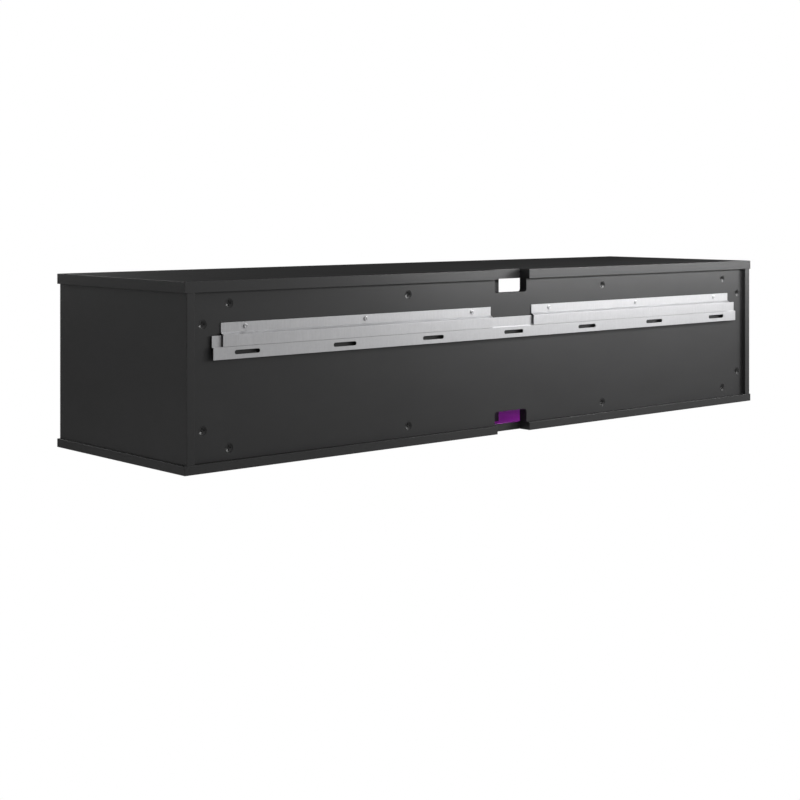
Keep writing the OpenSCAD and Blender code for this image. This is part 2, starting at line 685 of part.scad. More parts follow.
module control_bezel() color([0.06, 0.06, 0.07]) difference() {
    gap = 0.3;
    x0 = ix + control_x[0] + gap;
    x1 = ix + control_x[1] - gap;
    z0 = control_z[0] + gap;
    z1 = control_z[1] - gap;
    union() {
        box([x0, trim_y0, z0], [x1, trim_y1, z1]);
        box([x0 - 3.5, trim_y1, z0 - 3.5], [x1 + 3.5, trim_y1 + lip, z1 + 3.5]);
        for (x = [x0 - 1, x1 + 1], z = [z0 - 1, z1 + 1])
            rod_y(trim_y1 + lip, button_board_y, x, z, 2.2);
    }
    box([x0 + 1.5, trim_y0 + 2.8, z0 + 1.5], [x1 - 1.5, trim_y1 + lip + eps, z1 - 1.5]);
    for (x = button_x) rod_y(trim_y0 - eps, trim_y0 + 3, ix + x, button_z, button_d / 2 + 0.25);
    box([ix + display_x[0], trim_y0 - eps, button_z - display_h / 2],
        [ix + display_x[1], trim_y0 + 3, button_z + display_h / 2]);
    rod_y(trim_y0 - eps, trim_y0 + 3, ix + receiver_x, button_z, 3);
}

module display_window() color([0.05, 0.05, 0.08]) {
    gap = 0.1;
    edge = 1.5;
    box([ix + display_x[0] + gap, trim_y0 + 0.3, button_z - display_h / 2 + gap],
        [ix + display_x[1] - gap, trim_y0 + 2.8, button_z + display_h / 2 - gap]);
    box([ix + display_x[0] - edge, trim_y0 + 2.8, button_z - display_h / 2 - edge],
        [ix + display_x[1] + edge, trim_y0 + 3.8, button_z + display_h / 2 + edge]);
}

module ir_lens() color([0.2, 0.02, 0.04]) {
    rod_y(trim_y0 + 0.3, trim_y0 + 2.8, ix + receiver_x, button_z, 2.9);
    rod_y(trim_y0 + 2.8, trim_y0 + 3.8, ix + receiver_x, button_z, 4.5);
}

module push_button(x) color([0.15, 0.15, 0.16]) {
    rod_y(trim_y0 - 1.4, trim_y0 + 6.5, ix + x, button_z, button_d / 2);
    rod_y(trim_y0 + 2.9, trim_y0 + 3.9, ix + x, button_z, button_d / 2 + 1.2);
}

module power_button() push_button(button_x[0]);
module flame_button() push_button(button_x[1]);
module heat_button() push_button(button_x[2]);
module timer_button() push_button(button_x[3]);

// Circuit board behind the bezel, with a switch behind each button and the display
module button_board() color([0.1, 0.35, 0.2]) {
    y0 = button_board_y;
    box([ix + control_x[0] - 2, y0, control_z[0] - 2],
        [ix + control_x[1] + 2, y0 + board_t, control_z[1] + 2]);
    for (x = button_x) {
        box([ix + x - 3, y0 - 3.4, button_z - 3], [ix + x + 3, y0 + 0.2, button_z + 3]);
        rod_y(y0 - 4.2, y0, ix + x, button_z, 1.7);
    }
    box([ix + display_x[0] + 2, trim_y0 + 3.9, button_z - display_h / 2 + 1],
        [ix + display_x[1] - 2, y0 + 0.2, button_z + display_h / 2 - 1]);
    rod_y(trim_y0 + 4, y0 + 0.2, ix + receiver_x, button_z, 2.2);
}

board_top = shield_z[1] + 6 + board_t;
module power_board() color([0.12, 0.4, 0.22])
    box([ix + 175, -165, board_top - board_t], [ix + 325, -75, board_top]);

module board_components() color([0.2, 0.3, 0.6]) {
    box([ix + 185, -150, board_top], [ix + 219, -122, board_top + 26]);
    for (i = [0:2]) box([ix + 228 + i * 24, -152, board_top], [ix + 247 + i * 24, -136, board_top + 15]);
    for (i = [0:1]) rod_z(board_top, board_top + 22, ix + 240 + i * 20, -112, 7);
    box([ix + 262 + 16, -124, board_top], [ix + 262 + 42, -104, board_top + 12]);
    for (i = [0:4]) box([ix + 190 + i * 11, -96, board_top], [ix + 200 + i * 11, -82, board_top + 13]);
    for (i = [0:3]) box([ix + 262 + i * 12, -94, board_top], [ix + 271 + i * 12, -84, board_top + 9]);
}

// Appliance inlet for a detachable lead: rounded shroud with three blades
module power_inlet() color([0.08, 0.08, 0.09]) {
    translate([ix + inlet_pos[0], 0, inlet_pos[1]]) {
        difference() {
            union() {
                box([-13.8, shell_y1 - 23, -10], [13.8, shell_y1, 10]);
                box([-16, shell_y1, -12.5], [16, shell_y1 + 2.2, 12.5]);
            }
            translate([0, shell_y1 - 16, 0]) rotate([-90, 0, 0]) linear_extrude(20)
                polygon([[-12.2, -8.2], [12.2, -8.2], [12.2, 3.5], [7.5, 8.2], [-7.5, 8.2], [-12.2, 3.5]]);
        }
        for (p = [[-7, 2], [0, -3], [7, 2]])
            box([p[0] - 1, shell_y1 - 17, p[1] - 2], [p[0] + 1, shell_y1 - 4, p[1] + 2]);
    }
}

module switch_body() color([0.08, 0.08, 0.09]) translate([ix + switch_pos[0], 0, switch_pos[1]])
    difference() {
        union() {
            box([-9.5, shell_y1 - 17, -9.5], [9.5, shell_y1, 9.5]);
            box([-11, shell_y1, -11], [11, shell_y1 + 1.8, 11]);
        }
        box([-8.2, shell_y1 - 14, -6.8], [8.2, shell_y1 + 2, 6.8]);
        rod_x(-9.1, 9.1, pivot_y, 0, 1.56);
    }

// The rocker at rest is tipped to its off side
module switch_rocker() color([0.55, 0.05, 0.05])
    translate([ix + switch_pos[0], pivot_y, switch_pos[1]]) rotate([-10, 0, 0]) {
        along_x(-7.9, 7.9) intersection() {
            circle(r = 6.4);
            polygon([[-3, -7], [-3, 7], [4.4, 7], [3.2, 0], [4.4, -7]]);
        }
        rod_x(-9, 9, 0, 0, 1.5);
    }

// ---- insert: mounting ----

// A folded bracket between the shell and the panel beside it, on side s
module insert_brackets() color([0.66, 0.67, 0.69]) for (s = [-1, 1], z = bracket_z) difference() {
    xp = bracket_side_x(s);
    xs = ix + s * shell_w / 2;
    translate([0, 0, z]) linear_extrude(40) polygon([
        [xp, bracket_y], [xp - s * 1.5, bracket_y], [xp - s * 1.5, bracket_y + 16],
        [xs, bracket_y + 16], [xs, bracket_y + 32], [xs + s * 1.5, bracket_y + 32],
        [xs + s * 1.5, bracket_y + 17.5], [xp, bracket_y + 17.5]
    ]);
    bracket_screw_holes();
}

// Bracket screws: [x under the head, y, z, direction of the shank]
bracket_screw_list = concat(
    [for (s = [-1, 1], z = bracket_z)
        [bracket_side_x(s) - s * 1.5, bracket_y + 8, z + 20, s]],
    [for (s = [-1, 1], z = bracket_z)
        [ix + s * (shell_w / 2 + 1.5), bracket_y + 25, z + 20, -s]]
);

module screw_bar(c, from, to, r) {
    ends = [c[0] + c[3] * from, c[0] + c[3] * to];
    rod_x(min(ends), max(ends), c[1], c[2], r);
}

module bracket_screw_holes() for (c = bracket_screw_list) screw_bar(c, -eps, 12.5, 1.75 + screw_gap);

module bracket_screws() color([0.7, 0.71, 0.73]) for (c = bracket_screw_list) {
    screw_bar(c, 0, 12, 1.75);
    screw_bar(c, -2, 0, 3.4);
}

module insert_feet() color([0.05, 0.05, 0.05]) for (x = [-foot_x, foot_x], y = foot_y) {
    rod_z(in_bottom, shell_z[0], ix + x, y, 8);
    rod_z(shell_z[0], floor_z + 1, ix + x, y, 2 - screw_gap);
}

top_panel();
bottom_panel();
left_side_panel();
right_side_panel();
centre_divider();
back_panel();
cam_locks();
cam_bolts();
frame_dowels();
cam_caps();
cabinet_rail_left();
cabinet_rail_right();
rail_screws();
wall_rail();
led_channel();
led_strip();
led_diffuser();
led_controller();
firebox_shell();
rear_cover();
case_screws();
front_trim();
front_glass();
glass_clips();
outlet_louvre();
heat_shield();
heater_duct();
heating_element();
thermal_cutout();
blower_housing();
blower_wheel();
blower_motor();
shaft_bushes();
flame_screen();
flame_reflector();
rotor_shaft();
rotor_paddles();
rotor_motor();
rotor_brackets();
flame_led_board();
ember_tray();
ember_led_board();
ember_crystals();
board_standoffs();
control_bezel();
display_window();
ir_lens();
power_button();
flame_button();
heat_button();
timer_button();
button_board();
power_board();
board_components();
power_inlet();
switch_body();
switch_rocker();
insert_brackets();
bracket_screws();
insert_feet();
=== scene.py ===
"""The looks of the wall-hung electric fireplace console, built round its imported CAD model."""

import math
import random

import bmesh
import bpy
from mathutils import Euler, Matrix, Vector


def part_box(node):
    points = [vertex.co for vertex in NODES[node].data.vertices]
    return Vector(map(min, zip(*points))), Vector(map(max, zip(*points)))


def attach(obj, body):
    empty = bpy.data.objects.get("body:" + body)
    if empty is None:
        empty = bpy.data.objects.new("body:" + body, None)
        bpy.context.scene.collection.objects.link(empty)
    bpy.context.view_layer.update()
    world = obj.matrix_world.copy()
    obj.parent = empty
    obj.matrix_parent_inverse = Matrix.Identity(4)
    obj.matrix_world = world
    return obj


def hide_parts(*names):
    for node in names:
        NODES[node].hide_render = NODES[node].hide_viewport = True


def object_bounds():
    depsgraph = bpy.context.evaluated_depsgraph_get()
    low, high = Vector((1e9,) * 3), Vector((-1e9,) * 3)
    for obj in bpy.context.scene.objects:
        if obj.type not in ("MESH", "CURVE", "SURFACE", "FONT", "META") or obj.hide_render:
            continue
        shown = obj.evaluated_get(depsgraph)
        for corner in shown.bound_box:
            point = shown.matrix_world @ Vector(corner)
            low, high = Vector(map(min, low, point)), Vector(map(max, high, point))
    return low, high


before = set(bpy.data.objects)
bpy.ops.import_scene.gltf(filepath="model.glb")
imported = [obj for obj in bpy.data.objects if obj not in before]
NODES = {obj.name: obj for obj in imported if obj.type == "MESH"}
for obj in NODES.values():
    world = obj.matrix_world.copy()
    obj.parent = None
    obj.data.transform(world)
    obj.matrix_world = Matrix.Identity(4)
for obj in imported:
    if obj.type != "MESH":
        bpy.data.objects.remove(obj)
cad_low, cad_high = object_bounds()

MM = 0.001
CABINET = "cabinet"

# ---- camera, room and lamps ----

CAMERA_PLACE = (2.1021, 2.2756, 0.4221)
CAMERA_TURN = 138.749  # degrees round Z from looking along +Y
CAMERA_LENS = 70.99  # in millimetres, like the sensor
CAMERA_SENSOR = 36
CAMERA_SHIFT = -0.2422
FLOOR_DROP = 1.0  # the cabinet hangs on a wall, this far above the floor
FLOOR_SIZE = 16
WHITE = (1, 1, 1, 1)
LED_PURPLE = (0.62, 0.03, 0.75)


def make_camera():
    data = bpy.data.cameras.new("camera")
    data.lens = CAMERA_LENS
    data.sensor_width = CAMERA_SENSOR
    data.shift_y = CAMERA_SHIFT
    camera = bpy.data.objects.new("camera", data)
    camera.location = CAMERA_PLACE
    camera.rotation_euler = (math.pi / 2, 0, math.radians(CAMERA_TURN))
    bpy.context.collection.objects.link(camera)
    bpy.context.scene.camera = camera


def seen_or_lit(tree, seen, lit, out):
    """Shows the first shader to the camera, and lights the scene with the second."""
    path = tree.nodes.new("ShaderNodeLightPath")
    mix = tree.nodes.new("ShaderNodeMixShader")
    tree.links.new(path.outputs["Is Camera Ray"], mix.inputs[0])
    tree.links.new(lit, mix.inputs[1])
    tree.links.new(seen, mix.inputs[2])
    tree.links.new(mix.outputs[0], out.inputs["Surface"])


# The room's light fades from bright, behind the cabinet and to its left, to dark
BRIGHT_SIDE = (-0.5, 0.87, 0.0)
BRIGHT_LIGHT = 0.58
DARK_LIGHT = 0.03
RIGHT_LIGHT = 0.03  # added towards +X
# Each fade: the axis it follows, where along it it starts and ends, and the light at each
LIGHT_FADES = (
    (BRIGHT_SIDE, -0.2, 0.95, DARK_LIGHT, BRIGHT_LIGHT),
    ((1, 0, 0), 0, 0.8, 0, RIGHT_LIGHT),
)


def make_world():
    """A white studio that lights the cabinet from behind more than from in front."""
    world = bpy.data.worlds.new("studio")
    bpy.context.scene.world = world
    world.use_nodes = True
    tree = world.node_tree
    lit = tree.nodes["Background"]
    direction = tree.nodes.new("ShaderNodeTexCoord")
    total = tree.nodes.new("ShaderNodeMath")
    for term, (axis, *limits) in enumerate(LIGHT_FADES):
        along = tree.nodes.new("ShaderNodeVectorMath")
        along.operation = "DOT_PRODUCT"
        along.inputs[1].default_value = axis
        tree.links.new(direction.outputs["Generated"], along.inputs[0])
        fade = tree.nodes.new("ShaderNodeMapRange")
        fade.interpolation_type = "SMOOTHSTEP"
        for key, value in zip(("From Min", "From Max", "To Min", "To Max"), limits):
            fade.inputs[key].default_value = value
        tree.links.new(along.outputs["Value"], fade.inputs["Value"])
        tree.links.new(fade.outputs[0], total.inputs[term])
    tree.links.new(total.outputs[0], lit.inputs["Strength"])
    lit.inputs["Color"].default_value = WHITE
    seen = tree.nodes.new("ShaderNodeBackground")
    seen.inputs["Color"].default_value = WHITE
    seen_or_lit(tree, seen.outputs[0], lit.outputs[0], tree.nodes["World Output"])


def make_floor():
    """A pale floor well below the cabinet. The camera sees it as white."""
    material = bpy.data.materials.new("studio_floor")
    material.use_nodes = True
    tree = material.node_tree
    pale = tree.nodes["Principled BSDF"]
    pale.inputs["Base Color"].default_value = (0.85, 0.85, 0.85, 1)
    pale.inputs["Roughness"].default_value = 0.9
    seen = tree.nodes.new("ShaderNodeEmission")
    seen_or_lit(tree, seen.outputs[0], pale.outputs[0], tree.nodes["Material Output"])
    bpy.ops.mesh.primitive_plane_add(size=FLOOR_SIZE, location=(0, 0, -FLOOR_DROP))
    floor = bpy.context.active_object
    floor.name = "studio_floor"
    floor.data.materials.append(material)


def area_lamp(name, place, target, size, power, colour=(1, 1, 1)):
    """A lamp that the camera doesn't see. Its size is its width and height, its power is in watts."""
    data = bpy.data.lights.new(name, "AREA")
    data.shape = "RECTANGLE"
    data.size, data.size_y = size
    data.energy = power
    data.color = colour
    lamp = bpy.data.objects.new(name, data)
    lamp.location = place
    lamp.rotation_euler = (Vector(target) - Vector(place)).to_track_quat("-Z", "Y").to_euler()
    lamp.visible_camera = False
    bpy.context.collection.objects.link(lamp)


GLOW_AHEAD = 0.01  # from the LED channel to the lamp that stands for its light
GLOW_BELOW = 0.02
GLOW_HEIGHT = 0.03


def make_lamps():
    """Studio lamps, and the purple light that the LED strip throws into the open bay."""
    middle = (cad_low + cad_high) / 2
    area_lamp("key", (-2.7, 2.2, 0.8), middle, (0.7, 0.7), 23)
    area_lamp("overhead", (-0.5, 0.9, 2.4), middle, (1.2, 0.5), 12)
    area_lamp("wall_strip", (-0.7, 0.42, 0.38), (-0.7, 0.19, 0.3), (1.6, 0.06), 4.4)
    area_lamp("front_fill", (0.6, -3.0, 1.2), middle, (2.4, 1.6), 40)
    area_lamp("end_fill", (3.0, -1.6, -0.3), middle, (1.6, 1.2), 4.5)
    bay_low, bay_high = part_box("led_channel")
    bay_middle = (bay_low.x + bay_high.x) / 2
    glow_place = (bay_middle, bay_low.y - GLOW_AHEAD, bay_low.z - GLOW_BELOW)
    glow_size = (bay_high.x - bay_low.x, GLOW_HEIGHT)
    area_lamp("bay_glow", glow_place, (bay_middle, bay_low.y, 0), glow_size, 9, LED_PURPLE)


# ---- materials ----


class Shader:
    """A material with one Principled shader, and short calls that make the nodes behind it."""

    def __init__(self, name, colour, roughness, **constants):
        self.material = bpy.data.materials.new(name)
        self.material.use_nodes = True
        self.tree = self.material.node_tree
        self.surface = self.tree.nodes["Principled BSDF"]
        self.put("Base Color", (*colour, 1))
        self.put("Roughness", roughness)
        for key, value in constants.items():
            self.put(key.replace("_", " "), value)

    def put(self, socket, value):
        self.surface.inputs[socket].default_value = value

    def drive(self, socket, output):
        self.tree.links.new(output, self.surface.inputs[socket])

    def node(self, kind, *inputs, **settings):
        """A node with these settings. Each input is a number, a tuple or another node's output."""
        made = self.tree.nodes.new("ShaderNode" + kind)
        for key, value in settings.items():
            setattr(made, key, value)
        for socket, value in zip(made.inputs, inputs):
            if isinstance(value, bpy.types.NodeSocket):
                self.tree.links.new(value, socket)
            elif value is not None:
                socket.default_value = value
        return made

    def place(self, stretch=(1, 1, 1)):
        """The point on the piece, in metres, scaled along each axis."""
        source = self.node("TexCoord").outputs["Object"]
        return self.node("VectorMath", source, stretch, operation="MULTIPLY").outputs[0]

    def texture(self, kind, scale, point):
        """A texture at this scale, laid out by this point."""
        made = self.node(kind)
        self.tree.links.new(point, made.inputs["Vector"])
        made.inputs["Scale"].default_value = scale
        return made

    def noise(self, scale, detail=3.0, stretch=(1, 1, 1)):
        made = self.texture("TexNoise", scale, self.place(stretch))
        made.inputs["Detail"].default_value = detail
        return made.outputs["Fac"]

    def cells(self, scale):
        return self.texture("TexVoronoi", scale, self.place())

    def math(self, operation, *values):
        return self.node("Math", *values, operation=operation).outputs[0]

    def spread(self, factor, low, high, start=0.3, end=0.7):
        """Turns a factor from start to end into a number from low to high."""
        return self.node("MapRange", factor, start, end, low, high).outputs[0]

    def tint(self, factor, *stops):
        """A colour ramp through these (place, colour) stops."""
        ramp = self.node("ValToRGB", factor)
        points = ramp.color_ramp.elements
        while len(points) < len(stops):
            points.new(0.5)
        for point, (place, colour) in zip(points, stops):
            point.position = place
            point.color = (*colour, 1)
        return ramp.outputs["Color"]

    def bump(self, height, depth):
        """Raises the surface by the height, in metres at a height of 1."""
        made = self.node("Bump")
        made.inputs["Strength"].default_value = 1
        made.inputs["Distance"].default_value = depth
        self.tree.links.new(height, made.inputs["Height"])
        self.drive("Normal", made.outputs["Normal"])

    def shade(self, factor, colour, swing):
        """Drives the colour between a little darker and a little lighter than this one."""
        dark = tuple(c * (1 - swing) for c in colour)
        light = tuple(c * (1 + swing) for c in colour)
        self.drive("Base Color", self.tint(factor, (0.3, dark), (0.7, light)))


def plastic(name, colour, roughness, grain=1400, swing=0.12):
    """Moulded plastic or rubber with a fine spark-eroded texture."""
    s = Shader(name, colour, roughness)
    s.shade(s.noise(35), colour, swing)
    s.drive("Roughness", s.spread(s.noise(60, 5), roughness - 0.05, roughness + 0.07))
    s.bump(s.noise(grain, 2), 0.03 * MM)
    return s


def metal(name, colour, roughness, stretch=(1, 1, 1), swing=0.07):
    """Bare metal whose drawing or brushing marks run along the axis with the smallest stretch."""
    s = Shader(name, colour, roughness, Metallic=1.0)
    marks = s.noise(60, 4, stretch)
    s.shade(marks, colour, swing)
    s.drive("Roughness", s.spread(marks, roughness - 0.06, roughness + 0.08))
    s.bump(s.noise(240, 3, stretch), 0.02 * MM)
    return s


def powder_coat(name, colour, roughness=0.5):
    """Powder-coated sheet: a fine orange peel under an even satin."""
    s = Shader(name, colour, roughness)
    s.shade(s.noise(18), colour, 0.1)
    s.drive("Roughness", s.spread(s.noise(40, 4), roughness - 0.05, roughness + 0.06))
    s.bump(s.noise(700, 2), 0.06 * MM)
    return s


def black_board():
    """Melamine-faced board: satin black with a pressed grain and a faint cloudiness."""
    colour = (0.016, 0.016, 0.0165)
    s = Shader("black_board_finish", colour, 0.45)
    cloud = s.noise(5, 4, (1, 1, 2.5))
    s.shade(cloud, colour, 0.16)
    s.drive("Roughness", s.spread(s.noise(22, 5), 0.43, 0.47))
    s.bump(s.noise(1100, 3), 0.03 * MM)
    return s


def zinc_cam():
    """Die-cast zinc, near black: partly a blackened finish, partly painted shade of the recess the cam
    sits in. It has a hard shine where it faces a lamp.
    """
    # near black: painted shade of the cam's recess, laid over the zinc's blackened finish
    colour = (0.006, 0.006, 0.0062)
    s = Shader("zinc_cam_finish", colour, 0.34, Specular_IOR_Level=0.6)
    s.shade(s.noise(400), colour, 0.25)
    s.drive("Roughness", s.spread(s.noise(260, 4), 0.31, 0.38))
    s.bump(s.noise(900, 2), 0.02 * MM)
    return s


def galvanised_steel():
    """Zinc-coated strip, ground across its length, with soft spangle."""
    colour = (0.49, 0.49, 0.5)
    s = Shader("galvanised_steel_finish", colour, 0.44, Metallic=1.0)
    streaks = s.noise(60, 6, (14, 14, 0.6))
    spangle = s.cells(300).outputs["Color"]
    grey = s.node("RGBToBW", spangle).outputs[0]
    both = s.math("ADD", s.math("MULTIPLY", streaks, 0.8), s.math("MULTIPLY", grey, 0.2))
    s.shade(both, colour, 0.06)
    s.drive("Roughness", s.spread(both, 0.4, 0.48))
    s.bump(streaks, 0.01 * MM)
    return s


def front_glass():
    """Clear tempered glass with the slight grey of a heater's window."""
    s = Shader("front_glass_finish", (0.8, 0.81, 0.83), 0.02, IOR=1.5, Transmission_Weight=1.0)
    s.drive("Roughness", s.spread(s.noise(14), 0.01, 0.04))
    return s


FLAME_SWAY = 0.11  # how far a tongue's tip leans, in metres for each unit of noise
FLAME_DRAW = 0.28  # the noise is drawn out upwards by one over this


def flame_acrylic():
    """Frosted sheet with the flames that the turning rotor throws on it."""
    s = Shader("flame_acrylic_finish", (0.03, 0.022, 0.02), 0.3)
    low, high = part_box("flame_screen")
    axes = s.node("SeparateXYZ", s.place()).outputs
    height = s.spread(axes["Z"], 0.0, 1.0, low.z, high.z)
    sway = s.math("MULTIPLY", s.math("SUBTRACT", s.noise(11, 3, (1, 1, 0.5)), 0.5), FLAME_SWAY)
    across = s.math("ADD", axes["X"], s.math("MULTIPLY", sway, height))
    point = s.node("CombineXYZ", across, 0.0, s.math("MULTIPLY", axes["Z"], FLAME_DRAW)).outputs[0]
    tongues = s.texture("TexNoise", 24, point)
    tongues.inputs["Detail"].default_value = 2.2
    reach = s.spread(tongues.outputs["Fac"], 0.02, 0.95, 0.36, 0.7)
    heat = s.spread(s.math("SUBTRACT", reach, height), 0.0, 1.0, -0.05, 0.5)
    glow = s.tint(
        heat,
        (0.0, (0.0, 0.0, 0.0)),
        (0.18, (0.5, 0.03, 0.0)),
        (0.45, (1.0, 0.2, 0.01)),
        (0.8, (1.0, 0.55, 0.12)),
        (1.0, (1.0, 0.85, 0.5)),
    )
    s.drive("Emission Color", glow)
    s.put("Emission Strength", 4.0)
    return s


def amber_resin():
    """Moulded ember bed, lit from below in patches."""
    s = Shader("amber_resin_finish", (0.25, 0.07, 0.02), 0.45)
    patches = s.noise(38, 4)
    glow = s.tint(patches, (0.38, (0.08, 0.008, 0.0)), (0.52, (1.0, 0.16, 0.01)), (0.68, (1.0, 0.5, 0.1)))
    s.drive("Emission Color", glow)
    s.put("Emission Strength", 1.3)
    s.bump(patches, 0.6 * MM)
    return s


def crushed_glass():
    """Clear broken glass that carries some of the bed's light."""
    s = Shader("crushed_glass_finish", (0.85, 0.9, 0.95), 0.06, IOR=1.48, Transmission_Weight=1.0)
    s.drive("Roughness", s.spread(s.noise(160), 0.03, 0.2))
    warm = s.tint(s.noise(30), (0.4, (0.25, 0.03, 0.0)), (0.65, (1.0, 0.3, 0.05)))
    s.drive("Emission Color", warm)
    s.put("Emission Strength", 0.1)
    return s


LED_PITCH = 32.5 * MM


def opal_plastic():
    """Opal diffuser, brighter in front of each lamp of the strip."""
    s = Shader("opal_plastic_finish", (0.8, 0.7, 0.85), 0.5)
    axes = s.node("SeparateXYZ", s.place()).outputs
    wave = s.math("COSINE", s.math("MULTIPLY", axes["X"], 2 * math.pi / LED_PITCH))
    bright = s.tint(wave, (0.0, tuple(c * 0.75 for c in LED_PURPLE)), (1.0, LED_PURPLE))
    s.drive("Emission Color", bright)
    s.put("Emission Strength", 2.0)
    return s


def white_board():
    """White solder resist with warm copper pads."""
    s = Shader("white_board_finish", (0.8, 0.8, 0.77), 0.4)
    pads = s.cells(120).outputs["Distance"]
    s.drive("Base Color", s.tint(pads, (0.08, (0.6, 0.45, 0.25)), (0.12, (0.8, 0.8, 0.77))))
    s.drive("Roughness", s.spread(s.noise(80), 0.3, 0.5))
    return s


def circuit_green():
    """Green solder resist, with tracks just under it."""
    s = Shader("circuit_green_finish", (0.01, 0.12, 0.04), 0.3)
    tracks = s.texture("TexBrick", 90, s.place())
    tracks.inputs["Color1"].default_value = (0.008, 0.11, 0.035, 1)
    tracks.inputs["Color2"].default_value = (0.01, 0.13, 0.045, 1)
    tracks.inputs["Mortar"].default_value = (0.02, 0.24, 0.08, 1)
    s.drive("Base Color", tracks.outputs["Color"])
    s.drive("Roughness", s.spread(s.noise(70), 0.25, 0.4))
    return s


def component_blue():
    """Capacitor cans and relays, in black, blue and yellow."""
    s = Shader("component_blue_finish", (0.03, 0.07, 0.25), 0.35)
    patch = s.node("RGBToBW", s.cells(28).outputs["Color"]).outputs[0]
    tones = (0.3, (0.02, 0.02, 0.025)), (0.5, (0.03, 0.08, 0.3)), (0.75, (0.55, 0.42, 0.08))
    s.drive("Base Color", s.tint(patch, *tones))
    s.drive("Roughness", s.spread(s.noise(60), 0.3, 0.45))
    return s


def beech():
    """Fluted dowel: pale wood with fine growth lines along it."""
    s = Shader("beech_finish", (0.6, 0.43, 0.26), 0.6)
    lines = s.noise(320, 4, (1, 1, 0.08))
    s.drive("Base Color", s.tint(lines, (0.35, (0.45, 0.3, 0.16)), (0.6, (0.68, 0.5, 0.31))))
    s.bump(lines, 0.1 * MM)
    return s


METER_CELLS = 9  # across the display, of which the middle five hold a bar
METER_SPARE = 2  # empty cells at each end
METER_FOOT = 0.25  # the bars' foot, as a part of the display's height
METER_RISE = (0.2, 0.085)  # where a bar's top would be in cell 0, and what each cell adds
METER_HALF_BAR = 0.3  # as a part of a cell
METER_SKIN = 0.1 * MM  # only the display's front is lit


def display_lens():
    """Smoked lens over a lit meter: bars that grow from left to right."""
    s = Shader("display_lens_finish", (0.004, 0.004, 0.006), 0.08)
    s.drive("Roughness", s.spread(s.noise(300), 0.06, 0.12))
    low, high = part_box("display_window")
    axes = s.node("SeparateXYZ", s.place()).outputs
    across = s.spread(axes["X"], 0.0, METER_CELLS, low.x, high.x)
    up = s.spread(axes["Z"], 0.0, 1.0, low.z, high.z)
    cell = s.math("FLOOR", across)
    lowest, step = METER_RISE
    top = s.math("MULTIPLY_ADD", cell, step, lowest)
    lit = s.math("COMPARE", s.math("FRACT", across), 0.5, METER_HALF_BAR)
    limits = (
        s.math("GREATER_THAN", up, METER_FOOT),
        s.math("LESS_THAN", up, top),
        s.math("GREATER_THAN", cell, METER_SPARE - 0.5),
        s.math("LESS_THAN", cell, METER_CELLS - METER_SPARE - 0.5),
        s.math("LESS_THAN", axes["Y"], low.y + METER_SKIN),
    )
    for limit in limits:
        lit = s.math("MULTIPLY", lit, limit)
    s.drive("Emission Color", s.tint(lit, (0.0, (0.0, 0.0, 0.0)), (1.0, (0.25, 0.65, 1.0))))
    s.put("Emission Strength", 1.6)
    return s


FINISHES = {
    "black_board": black_board,
    "zinc_cam": zinc_cam,
    "bolt_steel": lambda: metal("bolt_steel_finish", (0.6, 0.6, 0.6), 0.3),
    "beech": beech,
    "cap_plastic": lambda: plastic("cap_plastic_finish", (0.012, 0.012, 0.013), 0.45),
    "galvanised_steel": galvanised_steel,
    "screw_steel": lambda: metal("screw_steel_finish", (0.62, 0.62, 0.63), 0.28),
    "led_aluminium": lambda: metal("led_aluminium_finish", (0.6, 0.61, 0.62), 0.4, (0.1, 3, 3)),
    "white_board": white_board,
    "opal_plastic": opal_plastic,
    "black_plastic": lambda: plastic("black_plastic_finish", (0.01, 0.01, 0.011), 0.32),
    "black_steel": lambda: powder_coat("black_steel_finish", (0.012, 0.012, 0.013)),
    "bright_steel": lambda: metal("bright_steel_finish", (0.6, 0.61, 0.62), 0.35, (0.3, 1, 3)),
    "front_glass": front_glass,
    "heater_aluminium": lambda: metal("heater_aluminium_finish", (0.75, 0.74, 0.71), 0.45),
    "thermostat_ceramic": lambda: plastic("thermostat_ceramic_finish", (0.75, 0.73, 0.68), 0.5),
    "fan_metal": lambda: metal("fan_metal_finish", (0.3, 0.3, 0.32), 0.4, (0.2, 1, 1)),
    "motor_iron": lambda: metal("motor_iron_finish", (0.3, 0.26, 0.22), 0.5, (30, 1, 1), 0.3),
    "nylon": lambda: plastic("nylon_finish", (0.75, 0.73, 0.65), 0.42),
    "flame_acrylic": flame_acrylic,
    "polished_aluminium": lambda: metal("polished_aluminium_finish", (0.86, 0.86, 0.87), 0.12),
    "amber_resin": amber_resin,
    "crushed_glass": crushed_glass,
    "display_lens": display_lens,
    "infrared_lens": lambda: plastic("infrared_lens_finish", (0.05, 0.002, 0.004), 0.1, 300),
    "button_plastic": lambda: plastic("button_plastic_finish", (0.02, 0.02, 0.022), 0.38),
    "circuit_green": circuit_green,
    "component_blue": component_blue,
    "red_plastic": lambda: plastic("red_plastic_finish", (0.4, 0.01, 0.01), 0.3),
    "rubber_black": lambda: plastic("rubber_black_finish", (0.014, 0.014, 0.014), 0.75, 900),
}
BOARDS = (
    "top_panel",
    "bottom_panel",
    "left_side_panel",
    "right_side_panel",
    "centre_divider",
    "back_panel",
)
STRIPS = ("wall_rail", "cabinet_rail_left", "cabinet_rail_right")
BOARD_EDGE = 0.6 * MM
STRIP_EDGE = 0.2 * MM
SMALL_EDGE = 0.25 * MM  # every other node's
EDGE_WIDTHS = dict.fromkeys(BOARDS, BOARD_EDGE) | dict.fromkeys(STRIPS, STRIP_EDGE)
EDGE_SEGMENTS = 3
EDGE_ANGLE = 40  # in degrees: sharper turns than this are rounded
FLAT_ANGLE = 0.5  # faces within this angle of each other are joined
WELD_GAP = 0.002 * MM


